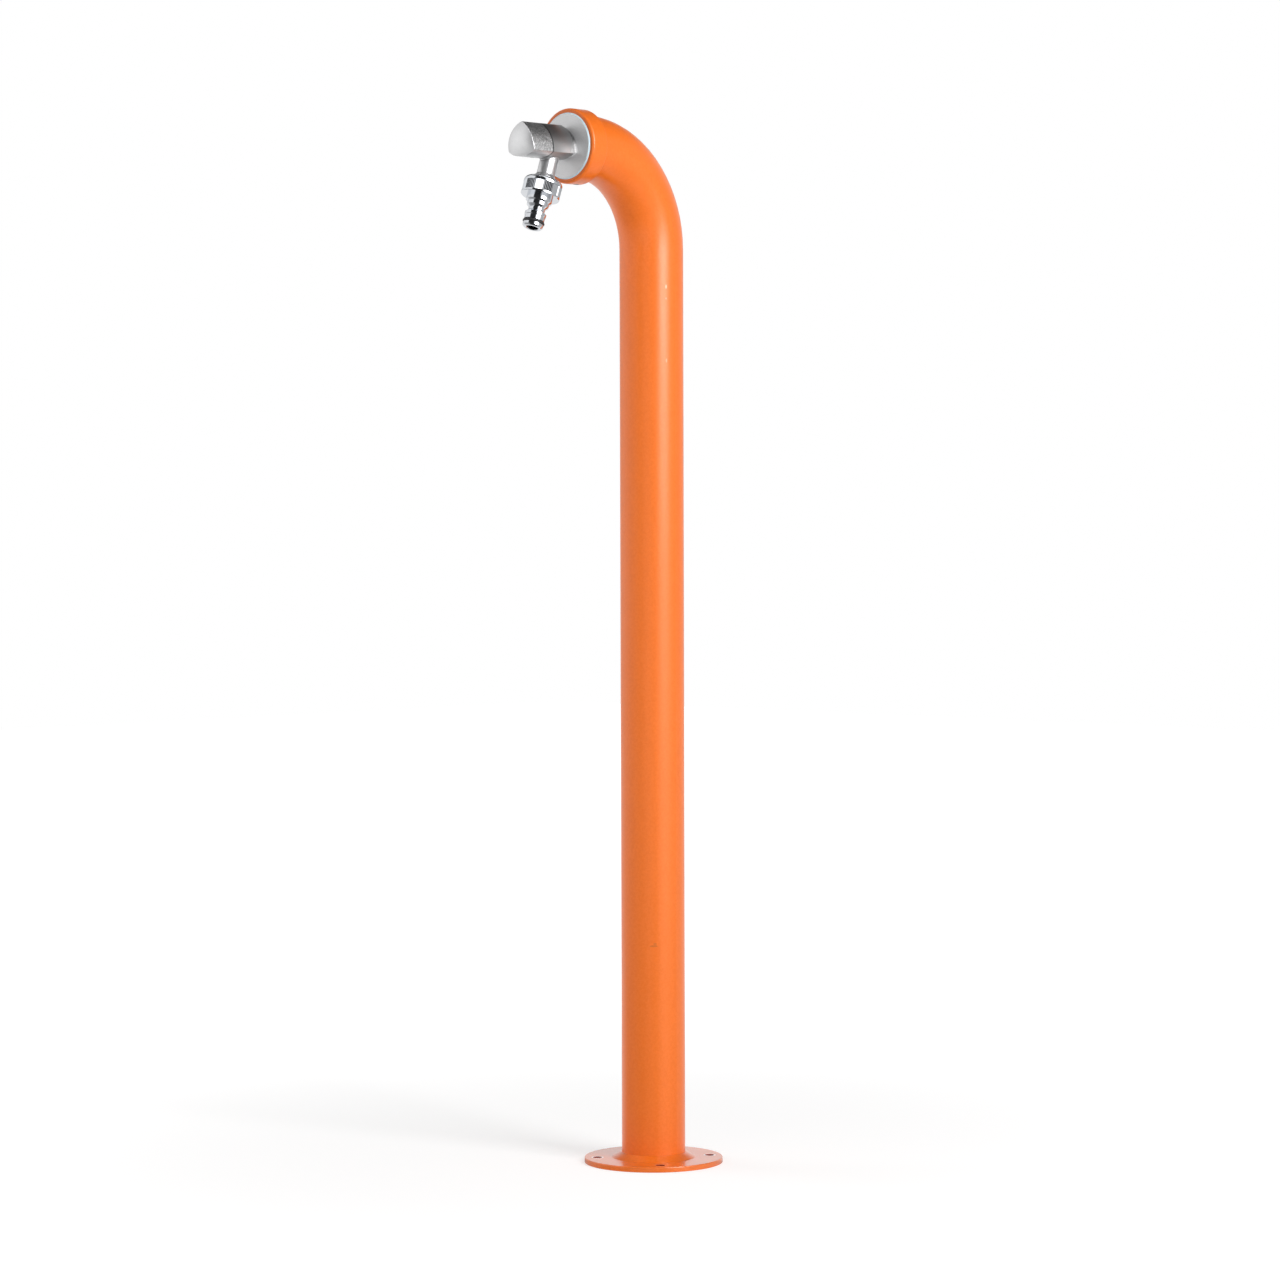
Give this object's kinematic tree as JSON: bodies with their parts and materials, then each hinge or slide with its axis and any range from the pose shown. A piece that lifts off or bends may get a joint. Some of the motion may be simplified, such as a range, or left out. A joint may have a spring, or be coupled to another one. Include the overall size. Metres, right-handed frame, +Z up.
{
  "type": "garden standpipe",
  "caption": "Bent steel tube post on a round bolt-down foot, with a knob-operated tap and a quick-coupling hose nipple at its end and a water hose inside.",
  "frame": {"origin": "centre of the foot's underside, on the post's axis", "axes": "+Z up along the post, -Y the way the tap and its knob face, +X to the right as seen from in front of the knob"},
  "size_m": [0.12, 0.2216, 0.9042],
  "materials": {
    "orange_coat": "satin orange powder coat",
    "satin_steel": "fine bead-blasted stainless steel",
    "polished_chrome": "polished chrome plate",
    "plain_steel": "plain steel",
    "bare_brass": "turned brass",
    "black_rubber": "matt black rubber",
    "hose_rubber": "smooth black hose rubber",
    "white_ceramic": "lapped white ceramic"
  },
  "bodies": {
    "stand": {"base_flange": "orange_coat", "post_tube": "orange_coat", "end_collar": "orange_coat", "end_plug": "satin_steel", "foot_ring": "satin_steel", "tap_body": "satin_steel", "hose_connector": "polished_chrome", "collar_set_screw": "plain_steel", "back_washer": "plain_steel", "hose_top_ferrule": "plain_steel", "hose_bottom_ferrule": "plain_steel", "back_nut": "bare_brass", "valve_housing": "bare_brass", "hose_top_nut": "bare_brass", "hose_top_tail": "bare_brass", "hose_inlet_fitting": "bare_brass", "valve_housing_seal": "black_rubber", "valve_inlet_seal": "black_rubber", "connector_gasket": "black_rubber", "connector_o_ring": "black_rubber", "hose_top_gasket": "black_rubber", "supply_hose": "hose_rubber", "fixed_disc": "white_ceramic"},
    "knob": {"knob": "satin_steel", "knob_set_screw": "plain_steel", "spindle": "bare_brass", "moving_disc": "white_ceramic", "spindle_o_rings": "black_rubber", "spindle_clip": "plain_steel"}
  },
  "joints": [
    {"name": "knob_turn", "type": "hinge", "parent": "stand", "child": "knob", "pos_m": [0, -0.1349, 0.8725], "axis": [0, -1, 0], "range_deg": [0, 90]}
  ]
}
